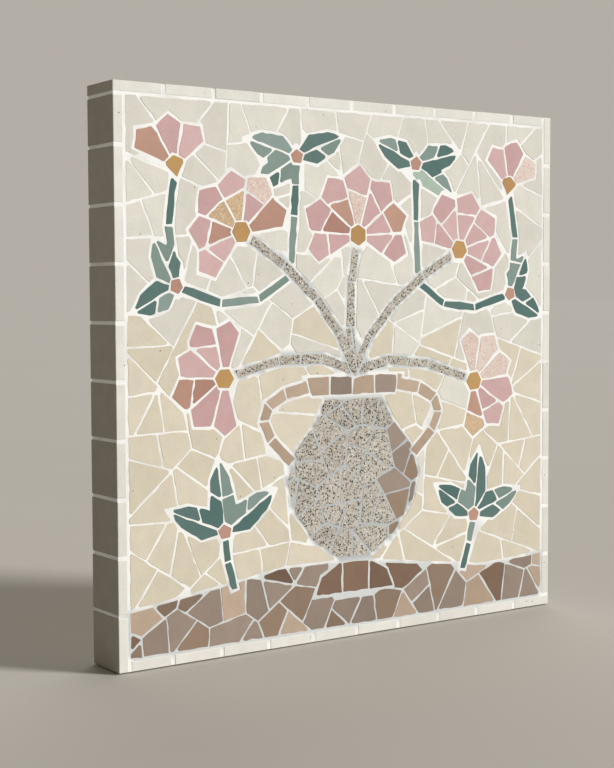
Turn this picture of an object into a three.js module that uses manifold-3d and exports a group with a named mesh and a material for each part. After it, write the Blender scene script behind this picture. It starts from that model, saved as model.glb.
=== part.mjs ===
// A square wall panel faced with hand-cut mosaic, in millimetres.
// Everything is laid out as on the maker's bench: the panel lies on its back, x runs across the picture,
// y up the picture and z from the wall to the front. The whole is stood up against the wall at the end.

import * as THREE from 'three';
import { mergeVertices } from 'three/addons/utils/BufferGeometryUtils.js';
import Module from 'manifold-3d';

const wasm = await Module();
wasm.setup();

// Edge tiles
const EDGE_TILE_LENGTH = 24;
const EDGE_TILE_WIDTH = 24;
const CUT_TILE_LENGTH = 20.4;
const FULL_TILES_PER_SIDE = 9;
const ARRIS_CHAMFER = 0.5;

// Porcelain, mortar and grout
const PORCELAIN_THICKNESS = 4.6;
const MORTAR_BED = 1.4;
const JOINT_WIDTH = 1.3;
const CHIP_JOINT = 0.9;
const FACE_GROUT_RECESS = 0.5;
const EDGE_GROUT_RECESS = 0.6;
const FIT_GAP = 0.3;

// Hand-cut pieces
const PAVING_SPACING = 38;
const STONE_SPACING = 27;
const GROUND_SPACING = 30;
const SMALLEST_CHIP_AREA = 14;
const HEART_RADIUS = 5;
const BERRY_RADIUS = 3.6;
const HANDLE_WIDTH = 5.6;
const STEM_WIDTH = 4.6;
const TWIG_WIDTH = 3.8;
const STEM_PIECE_LENGTH = 24;
const LEAF_WIDTH = 14.5;
const LEAF_BASE_WIDTH = 3.2;

// The hand of the maker, as shares: how far slabs wander from an even grid, and how unequal petals are
const SLAB_WANDER = 0.3;
const SLAB_STAGGER = 0.2;
const SNAP_TURN = Math.PI / 7;
const UNEVENNESS = 0.12;

// The panel's own sizes follow from its tiles
const rowLength = FULL_TILES_PER_SIDE * (EDGE_TILE_LENGTH + JOINT_WIDTH) + CUT_TILE_LENGTH;
const panelSide = rowLength + JOINT_WIDTH + PORCELAIN_THICKNESS;
const panelDepth = EDGE_TILE_WIDTH;
const fieldSide = panelSide - 2 * (PORCELAIN_THICKNESS + JOINT_WIDTH);
const fieldHalf = fieldSide / 2;
const boardThickness = panelDepth - PORCELAIN_THICKNESS - MORTAR_BED;
const groutLevel = panelDepth - FACE_GROUT_RECESS;
const figureBack = panelDepth - PORCELAIN_THICKNESS;

const COLOURS = {
  board: 0xb9a184,
  porcelain: 0xebe7de,
  paving: 0xe6e1d4,
  ground: 0x8b735c,
  stone: 0xa59e93,
  tan: 0xb9a38d,
  brown: 0x6e5544,
  pink: 0xcea6a3,
  teal: 0x5f7f78,
};

// Seeded random numbers, so that the hand-cut look is the same every time
function randomNumbers(seed) {
  let state = seed;
  return () => {
    state = (state + 0x6d2b79f5) | 0;
    let mixed = Math.imul(state ^ (state >>> 15), 1 | state);
    mixed = (mixed + Math.imul(mixed ^ (mixed >>> 7), 61 | mixed)) ^ mixed;
    return ((mixed ^ (mixed >>> 14)) >>> 0) / 2 ** 32;
  };
}

// Places in the picture are shares of half the field, from its middle
function at(across, up) {
  return new THREE.Vector2(across * fieldHalf, up * fieldHalf);
}

function polar(centre, angle, radius) {
  return new THREE.Vector2(radius, 0).rotateAround(new THREE.Vector2(), angle).add(centre);
}

function degrees(angle) {
  return THREE.MathUtils.degToRad(angle);
}

// Solids

function solidOf(geometry) {
  const bare = geometry.clone();
  bare.deleteAttribute('normal');
  bare.deleteAttribute('uv');
  const merged = mergeVertices(bare, 1e-5);
  return new wasm.Manifold(new wasm.Mesh({
    numProp: 3,
    vertProperties: new Float32Array(merged.attributes.position.array),
    triVerts: new Uint32Array(merged.index.array),
  }));
}

function geometryOf(solid) {
  const mesh = solid.getMesh();
  const geometry = new THREE.BufferGeometry();
  geometry.setAttribute('position', new THREE.BufferAttribute(mesh.vertProperties, 3));
  geometry.setIndex(new THREE.BufferAttribute(mesh.triVerts, 1));
  const faceted = geometry.toNonIndexed();
  faceted.computeVertexNormals();
  return faceted;
}

function join(solids) {
  return solids.reduce((whole, solid) => whole.add(solid));
}

function prism(outline, bottom, top) {
  const shape = new THREE.Shape(outline);
  const geometry = new THREE.ExtrudeGeometry(shape, { depth: top - bottom, bevelEnabled: false });
  geometry.translate(0, 0, bottom);
  return solidOf(geometry);
}

// A column runs through the panel and past both its faces, so that cutting with it leaves no skin
function column(outline) {
  return prism(outline, -panelDepth, 2 * panelDepth);
}

function block(left, right, low, high, bottom, top) {
  const geometry = new THREE.BoxGeometry(right - left, high - low, top - bottom);
  geometry.translate((left + right) / 2, (low + high) / 2, (bottom + top) / 2);
  return solidOf(geometry);
}

function squareBlock(half, bottom, top) {
  return block(-half, half, -half, half, bottom, top);
}

// Outlines

// Moves every side of an outline out by a distance, with sharp tips held back
function outset(outline, distance) {
  const sign = Math.sign(THREE.ShapeUtils.area(outline));
  return outline.map((point, index) => {
    const before = outline[(index + outline.length - 1) % outline.length];
    const after = outline[(index + 1) % outline.length];
    const normalIn = outwardNormal(before, point, sign);
    const normalOut = outwardNormal(point, after, sign);
    const middle = normalIn.clone().add(normalOut).normalize();
    const reach = 1 / Math.max(middle.dot(normalIn), 0.5);
    return point.clone().addScaledVector(middle, distance * reach);
  });
}

function outwardNormal(from, to, sign) {
  const along = to.clone().sub(from).normalize();
  return new THREE.Vector2(along.y * sign, -along.x * sign);
}

function strip(from, to, width) {
  const along = to.clone().sub(from).normalize();
  const aside = new THREE.Vector2(-along.y, along.x).multiplyScalar(width / 2);
  return [
    from.clone().sub(aside),
    to.clone().sub(aside),
    to.clone().add(aside),
    from.clone().add(aside),
  ];
}

// A band that follows a line of points, from one width to another
function band(line, startWidth, endWidth) {
  const sides = line.map((point, index) => {
    const before = line[Math.max(index - 1, 0)];
    const after = line[Math.min(index + 1, line.length - 1)];
    const along = after.clone().sub(before).normalize();
    const width = THREE.MathUtils.lerp(startWidth, endWidth, index / (line.length - 1));
    const aside = new THREE.Vector2(-along.y, along.x).multiplyScalar(width / 2);
    return { right: point.clone().sub(aside), left: point.clone().add(aside) };
  });
  return [...sides.map((side) => side.right), ...sides.map((side) => side.left).reverse()];
}

function disc(centre, radius, sides, turn) {
  const angles = Array.from({ length: sides }, (_, index) => turn + (index * 2 * Math.PI) / sides);
  return angles.map((angle) => polar(centre, angle, radius));
}

// Crazy paving

// Keeps the part of a convex outline that lies behind a line
function keepBehind(outline, point, normal) {
  const kept = [];
  outline.forEach((from, index) => {
    const to = outline[(index + 1) % outline.length];
    const fromDepth = point.clone().sub(from).dot(normal);
    const toDepth = point.clone().sub(to).dot(normal);
    if (fromDepth >= 0) kept.push(from);
    if (fromDepth * toDepth < 0) kept.push(from.clone().lerp(to, fromDepth / (fromDepth - toDepth)));
  });
  return kept;
}

// Slabs that would break from one sheet, each then snapped once across, with half a joint off every cut side
function crazyPaving(left, right, low, high, spacing, random) {
  const seeds = scatteredSeeds(left, right, low, high, spacing, random);
  const halfJoint = CHIP_JOINT / 2;
  return seeds.flatMap((seed) => {
    let slab = [
      new THREE.Vector2(left, low),
      new THREE.Vector2(right, low),
      new THREE.Vector2(right, high),
      new THREE.Vector2(left, high),
    ];
    seeds.filter((other) => other !== seed).forEach((other) => {
      const normal = other.clone().sub(seed).normalize();
      const edge = seed.clone().lerp(other, 0.5).addScaledVector(normal, -halfJoint);
      if (slab.length > 2) slab = keepBehind(slab, edge, normal);
    });
    return slab.length > 2 ? snapped(slab, halfJoint, random) : [];
  }).filter((chip) => chip.length > 2 && Math.abs(THREE.ShapeUtils.area(chip)) > SMALLEST_CHIP_AREA);
}

function scatteredSeeds(left, right, low, high, spacing, random) {
  const columns = Math.max(1, Math.round((right - left) / spacing));
  const rows = Math.max(1, Math.round((high - low) / spacing));
  const cellWidth = (right - left) / columns;
  const cellHeight = (high - low) / rows;
  const wander = () => (random() * 2 - 1) * SLAB_WANDER;
  const seeds = [];
  for (let row = 0; row < rows; row += 1) {
    for (let position = 0; position < columns; position += 1) {
      const stagger = row % 2 === 0 ? -SLAB_STAGGER : SLAB_STAGGER;
      const across = position + 0.5 + stagger + wander();
      const up = row + 0.5 + wander();
      seeds.push(new THREE.Vector2(left + across * cellWidth, low + up * cellHeight));
    }
  }
  return seeds;
}

// A slab snapped in two, roughly square across its long way
function snapped(slab, halfJoint, random) {
  const reaches = slab.flatMap((from) => slab.map((to) => to.clone().sub(from)));
  const longest = reaches.reduce((best, reach) => (reach.length() > best.length() ? reach : best));
  const middle = slab.reduce((sum, corner) => sum.add(corner), new THREE.Vector2()).divideScalar(slab.length);
  const turn = (random() - 0.5) * SNAP_TURN;
  const normal = longest.normalize().rotateAround(new THREE.Vector2(), turn);
  const back = normal.clone().negate();
  return [
    keepBehind(slab, middle.clone().addScaledVector(normal, -halfJoint), normal),
    keepBehind(slab, middle.clone().addScaledVector(back, -halfJoint), back),
  ];
}

// The joints of a crazy-paved figure: all of its box that no chip covers
function pavedJoints(outline, spacing, random) {
  const box = new THREE.Box2().setFromPoints(outline).expandByScalar(spacing / 2);
  const chips = crazyPaving(box.min.x, box.max.x, box.min.y, box.max.y, spacing, random);
  const whole = block(box.min.x, box.max.x, box.min.y, box.max.y, -panelDepth, 2 * panelDepth);
  return whole.subtract(join(chips.map(column)));
}

// Figures of the picture. Each gives its outlines and the joints between its pieces

// A petal's tip, as shares of the petal's width to either side and of its length
const PETAL_TIP = [[-0.42, 0.84], [-0.04, 1], [0.4, 0.87]];
const HEART_SIDES = 6;

// An open fan of petals round a heart
function fanFlower({ base, facing, petals, spread, radius, seed }) {
  const random = randomNumbers(seed);
  const petalWidth = spread / petals;
  const outline = [];
  const cuts = [];
  for (let petal = 0; petal < petals; petal += 1) {
    const middle = facing - spread / 2 + petalWidth * (petal + 0.5);
    const reach = radius * (1 + (random() - 0.5) * UNEVENNESS);
    PETAL_TIP.forEach(([turn, share]) => {
      outline.push(polar(base, middle + turn * petalWidth, reach * share));
    });
    if (petal > 0) cuts.push(middle - petalWidth / 2);
  }
  const backSpread = 2 * Math.PI - spread;
  [0, 0.5, 1].forEach((share) => {
    outline.push(polar(base, facing + spread / 2 + backSpread * share, HEART_RADIUS + CHIP_JOINT));
  });
  const heart = disc(base, HEART_RADIUS, HEART_SIDES, facing);
  const radial = cuts.map((angle) => column(
    strip(polar(base, angle, HEART_RADIUS), polar(base, angle, 2 * radius), CHIP_JOINT),
  ));
  const ring = column(outset(heart, CHIP_JOINT));
  return { outlines: [outline], joints: join([ring, ...radial]).subtract(column(heart)) };
}

// A leaf's breadth at stations along it, as shares of its length, and the side cut that forks from its midrib
const LEAF_STATIONS = [0.05, 0.34, 0.72];
const LEAF_BELLY = 0.85;
const LEAF_FORK = 0.42;
const LEAF_FORK_ANGLE = degrees(52);
const BERRY_SIDES = 5;

// Leaves that spring from one berry, with their stalks
function leafSpray({ base, angles, length, stalks, seed }) {
  const random = randomNumbers(seed);
  const berry = disc(base, BERRY_RADIUS, BERRY_SIDES, angles[0]);
  const stalkBands = stems(stalks.map(({ bend, to }) => ({ from: base, bend, to, width: TWIG_WIDTH })));
  const outlines = [outset(berry, CHIP_JOINT), ...stalkBands.outlines];
  const cuts = [column(outset(berry, CHIP_JOINT)), ...stalkBands.cuts];
  angles.forEach((angle, index) => {
    const reach = length * (index === 0 ? 1 : 1 - UNEVENNESS * random());
    const side = index % 2 === 0 ? 1 : -1;
    const fork = polar(base, angle, reach * LEAF_FORK);
    const forkEnd = polar(fork, angle + side * LEAF_FORK_ANGLE, LEAF_WIDTH);
    outlines.push(leafOutline(base, angle, reach));
    cuts.push(column(strip(base, polar(base, angle, reach + LEAF_BASE_WIDTH), CHIP_JOINT)));
    cuts.push(column(strip(fork, forkEnd, CHIP_JOINT)));
  });
  return { outlines, joints: join(cuts).subtract(column(berry)) };
}

function leafOutline(base, angle, length) {
  const side = (sign) => LEAF_STATIONS.map((share) => {
    const width = Math.max(LEAF_BASE_WIDTH, LEAF_WIDTH * Math.sin(Math.PI * share ** LEAF_BELLY));
    return polar(polar(base, angle, length * share), angle + (sign * Math.PI) / 2, width / 2);
  });
  return [...side(-1), polar(base, angle, length), ...side(1).reverse()];
}

// A cut square across a curve, at a share of its length
function crossCut(curve, share, width) {
  const middle = curve.getPoint(share);
  const along = curve.getTangent(share);
  const aside = new THREE.Vector2(-along.y, along.x).multiplyScalar(width);
  return column(strip(middle.clone().sub(aside), middle.clone().add(aside), CHIP_JOINT));
}

// Stems and twigs, which taper by a fifth, in short narrow pieces
function stems(routes) {
  const outlines = [];
  const cuts = [];
  routes.forEach(({ from, bend, to, width }) => {
    const curve = new THREE.QuadraticBezierCurve(from, bend, to);
    const pieces = Math.max(2, Math.round(curve.getLength() / STEM_PIECE_LENGTH));
    outlines.push(band(curve.getPoints(pieces), width, width * 0.8));
    for (let piece = 1; piece < pieces; piece += 1) {
      cuts.push(crossCut(curve, piece / pieces, width));
    }
  });
  return { outlines, cuts };
}

// The vase's half width at heights from its foot to its neck
const VASE_PROFILE = [
  [0.08, -0.73],
  [0.2, -0.65],
  [0.29, -0.53],
  [0.32, -0.42],
  [0.28, -0.3],
  [0.19, -0.2],
  [0.14, -0.11],
];
const FOOT_PROFILE = [[0.19, -0.87], [0.16, -0.8], [0.075, -0.755]];
const LIP_PROFILE = [[0.2, -0.09], [0.24, -0.02]];

// An outline from a profile and its mirror image
function turned(profile) {
  const rightSide = profile.map(([halfWidth, up]) => at(halfWidth, up));
  const leftSide = profile.map(([halfWidth, up]) => at(-halfWidth, up));
  return [...rightSide, ...leftSide.reverse()];
}

function vaseBody() {
  const outline = turned(VASE_PROFILE);
  return { outlines: [outline], joints: pavedJoints(outline, STONE_SPACING, randomNumbers(11)) };
}

function vaseFoot() {
  const cuts = [-0.06, 0.07].map((across) => column(strip(at(across, -0.9), at(across, -0.7), CHIP_JOINT)));
  return { outlines: [turned(FOOT_PROFILE)], joints: join(cuts) };
}

function vaseRim() {
  const handles = [-1, 1].map((side) => new THREE.QuadraticBezierCurve(
    at(side * 0.19, -0.05),
    at(side * 0.6, -0.1),
    at(side * 0.3, -0.34),
  ));
  const handleOutlines = handles.map((curve) => band(curve.getPoints(5), HANDLE_WIDTH, HANDLE_WIDTH * 0.8));
  const handleCuts = handles.flatMap((curve) => [0.2, 0.4, 0.6, 0.8].map(
    (share) => crossCut(curve, share, HANDLE_WIDTH),
  ));
  const lipCuts = [-0.12, -0.01, 0.1].map(
    (across) => column(strip(at(across, -0.12), at(across, 0.01), CHIP_JOINT)),
  );
  return { outlines: [turned(LIP_PROFILE), ...handleOutlines], joints: join([...lipCuts, ...handleCuts]) };
}

// A low swell of ground, from its right end to its left
function ground() {
  const crest = [3, 2, 1, 0, -1, -2, -3].map((step) => {
    const across = step / 3;
    return at(across, -0.79 + 0.05 * Math.cos(across * 3.4 + 0.6));
  });
  const outline = [at(-1, -1), at(1, -1), ...crest];
  return { outlines: [outline], joints: pavedJoints(outline, GROUND_SPACING, randomNumbers(23)) };
}

// Where things stand in the picture. Angles are in degrees from the right, turning up
const mouth = at(0, 0);
const flowerPlaces = [
  { name: 'flower_crown', base: at(0.02, 0.53), facing: 90, petals: 7, spread: 245, radius: 0.26 },
  { name: 'flower_left_high', base: at(-0.52, 0.53), facing: 122, petals: 6, spread: 235, radius: 0.23 },
  { name: 'flower_right_high', base: at(0.54, 0.48), facing: 56, petals: 6, spread: 235, radius: 0.23 },
  { name: 'flower_left_low', base: at(-0.6, -0.01), facing: 178, petals: 6, spread: 225, radius: 0.22 },
  { name: 'flower_right_low', base: at(0.62, -0.06), facing: 4, petals: 6, spread: 225, radius: 0.22 },
  { name: 'bud_left', base: at(-0.8, 0.76), facing: 100, petals: 3, spread: 130, radius: 0.19 },
  { name: 'bud_right', base: at(0.81, 0.75), facing: 78, petals: 3, spread: 130, radius: 0.19 },
];
const sprayPlaces = [
  {
    name: 'leaves_left_side',
    base: at(-0.8, 0.33),
    angles: [208, 118],
    length: 0.2,
    stalks: [{ bend: at(-0.5, 0.18), to: at(-0.3, 0.37) }, { bend: at(-0.86, 0.55), to: at(-0.8, 0.76) }],
  },
  {
    name: 'leaves_right_side',
    base: at(0.82, 0.3),
    angles: [-28, 62],
    length: 0.2,
    stalks: [{ bend: at(0.5, 0.16), to: at(0.32, 0.35) }, { bend: at(0.88, 0.54), to: at(0.81, 0.75) }],
  },
  {
    name: 'leaves_left_top',
    base: at(-0.27, 0.82),
    angles: [166, 22, 212],
    length: 0.24,
    stalks: [{ bend: at(-0.28, 0.6), to: at(-0.3, 0.37) }],
  },
  {
    name: 'leaves_right_top',
    base: at(0.31, 0.82),
    angles: [14, 158, -32],
    length: 0.24,
    stalks: [{ bend: at(0.31, 0.6), to: at(0.32, 0.35) }],
  },
  {
    name: 'leaves_left_low',
    base: at(-0.6, -0.58),
    angles: [96, 158, 32],
    length: 0.28,
    stalks: [{ bend: at(-0.6, -0.7), to: at(-0.56, -0.8) }],
  },
  {
    name: 'leaves_right_low',
    base: at(0.62, -0.62),
    angles: [84, 20, 146],
    length: 0.28,
    stalks: [{ bend: at(0.6, -0.74), to: at(0.56, -0.84) }],
  },
];
const stemRoutes = [
  { from: mouth, bend: at(-0.05, 0.25), to: at(0.02, 0.53), width: STEM_WIDTH },
  { from: mouth, bend: at(-0.1, 0.3), to: at(-0.52, 0.53), width: STEM_WIDTH },
  { from: mouth, bend: at(0.12, 0.28), to: at(0.54, 0.48), width: STEM_WIDTH },
  { from: mouth, bend: at(-0.2, 0.12), to: at(-0.6, -0.01), width: STEM_WIDTH },
  { from: mouth, bend: at(0.22, 0.1), to: at(0.62, -0.06), width: STEM_WIDTH },
];

function flowerFigure(place, index) {
  return {
    name: place.name,
    colour: COLOURS.pink,
    ...fanFlower({
      base: place.base,
      facing: degrees(place.facing),
      petals: place.petals,
      spread: degrees(place.spread),
      radius: place.radius * fieldHalf,
      seed: 100 + index,
    }),
  };
}

function sprayFigure(place, index) {
  return {
    name: place.name,
    colour: COLOURS.teal,
    ...leafSpray({
      base: place.base,
      angles: place.angles.map(degrees),
      length: place.length * fieldHalf,
      stalks: place.stalks,
      seed: 200 + index,
    }),
  };
}

function stemsFigure() {
  const { outlines, cuts } = stems(stemRoutes);
  return { name: 'stems', colour: COLOURS.stone, outlines, joints: join(cuts) };
}

// Figures from the top of the picture's layers to the bottom: each is cut round by those before it
const figures = [
  ...flowerPlaces.map(flowerFigure),
  stemsFigure(),
  ...sprayPlaces.map(sprayFigure),
  { name: 'vase_rim_and_handles', colour: COLOURS.tan, ...vaseRim() },
  { name: 'vase_body', colour: COLOURS.stone, ...vaseBody() },
  { name: 'vase_foot', colour: COLOURS.brown, ...vaseFoot() },
  { name: 'ground', colour: COLOURS.ground, ...ground() },
];

// The mosaic face

function region(figure, distance) {
  return join(figure.outlines.map((outline) => column(outset(outline, distance))));
}

const fieldColumn = squareBlock(fieldHalf, -panelDepth, 2 * panelDepth);
const pocketColumn = squareBlock(fieldHalf + FIT_GAP, -panelDepth, 2 * panelDepth);
const raisedLayer = squareBlock(panelSide, groutLevel, 2 * panelDepth);
const figureLayer = squareBlock(panelSide, figureBack, panelDepth);
const pocketLayer = squareBlock(panelSide, figureBack - FIT_GAP, 2 * panelDepth);

function setFigures() {
  const set = [];
  let aboveByJoint = null;
  let abovePockets = null;
  figures.forEach((figure) => {
    let body = region(figure, 0).intersect(fieldColumn);
    let pocket = region(figure, FIT_GAP).intersect(pocketColumn);
    if (aboveByJoint) {
      body = body.subtract(aboveByJoint);
      pocket = pocket.subtract(abovePockets);
    }
    const grooves = figure.joints.intersect(raisedLayer);
    set.push({
      name: figure.name,
      colour: figure.colour,
      solid: body.intersect(figureLayer).subtract(grooves),
      pocket: pocket.intersect(pocketLayer),
    });
    const clearance = region(figure, JOINT_WIDTH);
    const pocketClearance = region(figure, JOINT_WIDTH - FIT_GAP);
    aboveByJoint = aboveByJoint ? aboveByJoint.add(clearance) : clearance;
    abovePockets = abovePockets ? abovePockets.add(pocketClearance) : pocketClearance;
  });
  return { set, picture: aboveByJoint };
}

function backgroundChips(picture) {
  const random = randomNumbers(7);
  const outlines = crazyPaving(-fieldHalf, fieldHalf, -fieldHalf, fieldHalf, PAVING_SPACING, random);
  const paving = join(outlines.map((outline) => prism(outline, groutLevel - FIT_GAP, panelDepth)));
  const height = panelDepth - groutLevel + FIT_GAP;
  return paving.subtract(picture).decompose().filter((chip) => chip.volume() / height > SMALLEST_CHIP_AREA);
}

// Grout between the edge tiles of one side, a ridge after each tile
function edgeRidges() {
  const inner = fieldHalf;
  const outer = panelSide / 2 - EDGE_GROUT_RECESS;
  return edgeRow().map(({ start, length }) => block(
    start + length + FIT_GAP,
    start + length + JOINT_WIDTH - FIT_GAP,
    inner + FIT_GAP,
    outer,
    0,
    groutLevel,
  ));
}

function mortarAndPaving(pockets, chips) {
  const skin = squareBlock(panelSide / 2 - PORCELAIN_THICKNESS - FIT_GAP, 0, groutLevel);
  const boardSpace = squareBlock(fieldHalf + FIT_GAP, -panelDepth, boardThickness + FIT_GAP);
  const ridges = [0, 1, 2, 3].flatMap((side) => edgeRidges().map((ridge) => ridge.rotate([0, 0, -90 * side])));
  return join([skin, ...ridges]).subtract(boardSpace).subtract(join(pockets)).add(join(chips));
}

// Edge tiles

// Where each tile of a side starts, from the corner that the row covers
function edgeRow() {
  const row = [];
  for (let tile = 0; tile < FULL_TILES_PER_SIDE; tile += 1) {
    const start = -panelSide / 2 + tile * (EDGE_TILE_LENGTH + JOINT_WIDTH);
    row.push({ label: `${tile + 1}`, start, length: EDGE_TILE_LENGTH });
  }
  const cutStart = -panelSide / 2 + FULL_TILES_PER_SIDE * (EDGE_TILE_LENGTH + JOINT_WIDTH);
  row.push({ label: 'cut', start: cutStart, length: CUT_TILE_LENGTH });
  return row;
}

// A tile with its back at y = 0 and its face, with softened edges, at y = PORCELAIN_THICKNESS
function edgeTile(length) {
  const thickness = PORCELAIN_THICKNESS;
  const facedSection = (width) => [
    new THREE.Vector2(0, 0),
    new THREE.Vector2(width, 0),
    new THREE.Vector2(width, thickness - ARRIS_CHAMFER),
    new THREE.Vector2(width - ARRIS_CHAMFER, thickness),
    new THREE.Vector2(ARRIS_CHAMFER, thickness),
    new THREE.Vector2(0, thickness - ARRIS_CHAMFER),
  ];
  const alongWidth = prism(facedSection(length), 0, EDGE_TILE_WIDTH);
  const alongLength = prism(facedSection(EDGE_TILE_WIDTH), 0, length);
  return alongWidth.intersect(alongLength.rotate([0, -90, 0]).translate([length, 0, 0]));
}

// Assembly

function mesh(name, geometry, colour, roughness) {
  const material = new THREE.MeshStandardMaterial({ color: colour, roughness, metalness: 0 });
  const piece = new THREE.Mesh(geometry, material);
  piece.name = name;
  return piece;
}

function edgeSide(sideName, turn) {
  const side = new THREE.Group();
  side.rotation.z = turn;
  edgeRow().forEach(({ label, start, length }) => {
    const tile = mesh(`edge_${sideName}_${label}`, geometryOf(edgeTile(length)), COLOURS.porcelain, 0.75);
    tile.position.set(start, panelSide / 2 - PORCELAIN_THICKNESS, 0);
    side.add(tile);
  });
  return side;
}

const panel = new THREE.Group();
const { set, picture } = setFigures();
const pockets = set.map((figure) => figure.pocket);
const bed = mortarAndPaving(pockets, backgroundChips(picture));
const board = new THREE.BoxGeometry(fieldSide, fieldSide, boardThickness);
board.translate(0, 0, boardThickness / 2);
panel.add(mesh('backing_board', board, COLOURS.board, 0.8));
panel.add(mesh('mortar_and_paving', geometryOf(bed), COLOURS.paving, 0.85));
set.forEach(({ name, colour, solid }) => panel.add(mesh(name, geometryOf(solid), colour, 0.75)));
['top', 'right', 'bottom', 'left'].forEach((sideName, index) => {
  panel.add(edgeSide(sideName, (-index * Math.PI) / 2));
});

// Stood up: the back on the wall plane y = 0, the picture facing -y, the top towards +z
panel.rotation.x = Math.PI / 2;

export default panel;
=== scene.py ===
"""The looks of a square wall panel faced with hand-cut porcelain mosaic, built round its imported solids.

Metres throughout. The picture faces -Y, its top is +Z, and the wall is the plane y = 0.
"""

import logging
import math
import random
from contextlib import contextmanager
from dataclasses import dataclass
from enum import Enum
from typing import Callable, Iterator, Optional, Union

import bmesh
import bpy
from mathutils import Matrix, Vector, noise


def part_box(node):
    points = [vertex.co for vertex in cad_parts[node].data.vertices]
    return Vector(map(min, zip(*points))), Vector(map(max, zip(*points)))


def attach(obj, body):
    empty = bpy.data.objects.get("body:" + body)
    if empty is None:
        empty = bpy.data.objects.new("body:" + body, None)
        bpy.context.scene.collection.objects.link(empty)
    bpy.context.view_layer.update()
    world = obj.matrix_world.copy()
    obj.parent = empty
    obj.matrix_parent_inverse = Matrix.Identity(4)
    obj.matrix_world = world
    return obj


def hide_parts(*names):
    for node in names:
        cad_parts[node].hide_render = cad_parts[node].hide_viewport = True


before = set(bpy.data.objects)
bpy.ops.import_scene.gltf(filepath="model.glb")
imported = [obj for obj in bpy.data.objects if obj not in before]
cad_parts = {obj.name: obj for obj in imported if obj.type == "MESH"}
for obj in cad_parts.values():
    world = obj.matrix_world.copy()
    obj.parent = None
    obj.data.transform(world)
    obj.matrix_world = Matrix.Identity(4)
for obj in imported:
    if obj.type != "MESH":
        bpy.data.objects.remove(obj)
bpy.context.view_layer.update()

Socket = bpy.types.NodeSocket
Part = Union[bmesh.types.BMFace, bmesh.types.BMEdge]
Colour = tuple[float, float, float, float]
Span = tuple[float, float]
Input = Union[Socket, float, tuple[float, ...]]

# Lengths are in metres, and angles in radians unless they say otherwise
MM = 0.001
BODY = "root"
FACE_Y = -24.0 * MM
TOUCH = 0.01 * MM
NEAR = 0.1 * MM
# The least part of a face's normal that lies along an axis which the face looks down
SQUARE_ON = 0.99
NEARLY_SQUARE_ON = 0.9
HALF_ON = 0.5

# How chips are snapped, bent and blunted
JOINT = 0.9 * MM
JOINT_MIDDLE = 0.45 * JOINT
SHORTEST_EDGE = 1.1 * MM
SNAP_ROUNDS = 3
SNAP_STRAY_DEGREES = 24
BEND_ROUNDS = 3
BLUNT_ROUNDS = 4
BLUNT_BELOW = math.radians(66)
BROKEN_TIP = 1.1 * MM
SHORTEST_NIPPED_EDGE = 0.8 * BROKEN_TIP
MOST_OF_EDGE = 0.45
DROPPED_BELOW = math.radians(45)
CRUMB_AREA = 8.0 * MM * MM
LOW_BORDER = 18.0 * MM
# The area of a compact chip, as a share of its length squared
COMPACT_AREA = 0.45
# How grey the grout is beside a solid
DUSTY_NODES = {
    "vase_body": 1.0,
    "stems": 0.8,
    "ground": 0.6,
    "vase_foot": 0.5,
    "vase_rim_and_handles": 0.25,
}

# The node that adds and multiplies vectors, and the numbered sockets of a colour mix
VECTOR_MATHS = "ShaderNodeVectorMath"
MIX_SHARE = 0
MIX_ONE = 6
MIX_OTHER = 7
MIX_RESULT = 2
# The span that noise mostly keeps to, and the part of it that is washed grout
NOISE_SPAN = (0.3, 0.7)
WASHED_SPAN = (0.5, 0.75)
# Pressed powder: the size of its clouds in millimetres, their darkest and their palest
POWDER_CLOUDS = ((7.0, 0.95, 1.03), (0.5, 0.93, 1.05))
# Grains: how ragged they are in millimetres, their full-coloured core, and each kind's offset
FRAY_SIZE = 0.7
FRAY_DEPTH = 0.45
GRAIN_CORE = 0.8
LATTICE_STEP = (0.31, 0.17, 0.23)
# The fired face: grit and pits in millimetres, a pit's span as a share of the spacing
GRIT_SIZE = 0.9
PIT_SPACING = 2.1
PIT_SPAN = (0.08, 0.2)
PIT_SHARE = 0.5
PORCELAIN_IOR = 1.52
# How much finer the wood's figure and its pores are across the grain than along it
FIGURE_DRAW = 0.16
PORE_DRAW = 0.05

log = logging.getLogger("mosaic panel")


class Direction(Enum):
    """The way the outer face of an edge tile looks, as turns of a tile that lies flat, face up."""

    TOP = 0.0
    RIGHT = 90.0
    BOTTOM = 180.0
    LEFT = 270.0


class Role(Enum):
    """What a chip is in its figure."""

    FIELD = "field"
    HEART = "heart"
    STALK = "stalk"
    FLANK = "flank"
    LOW = "low"


# Colour and nodes


def linear(hex_colour: str) -> Colour:
    """Turn an sRGB hex colour into linear light.

    Args:
        hex_colour: Six hex digits, such as "ddd8cc".

    Returns:
        Red, green, blue and an opaque alpha.
    """
    channels = [int(hex_colour[start:start + 2], 16) / 255 for start in (0, 2, 4)]
    light = [c / 12.92 if c <= 0.04045 else ((c + 0.055) / 1.055) ** 2.4 for c in channels]
    return (light[0], light[1], light[2], 1.0)


def per_metre(size_mm: float) -> float:
    """Return the texture scale that gives features of a size in millimetres."""
    return 1000.0 / size_mm


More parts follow.
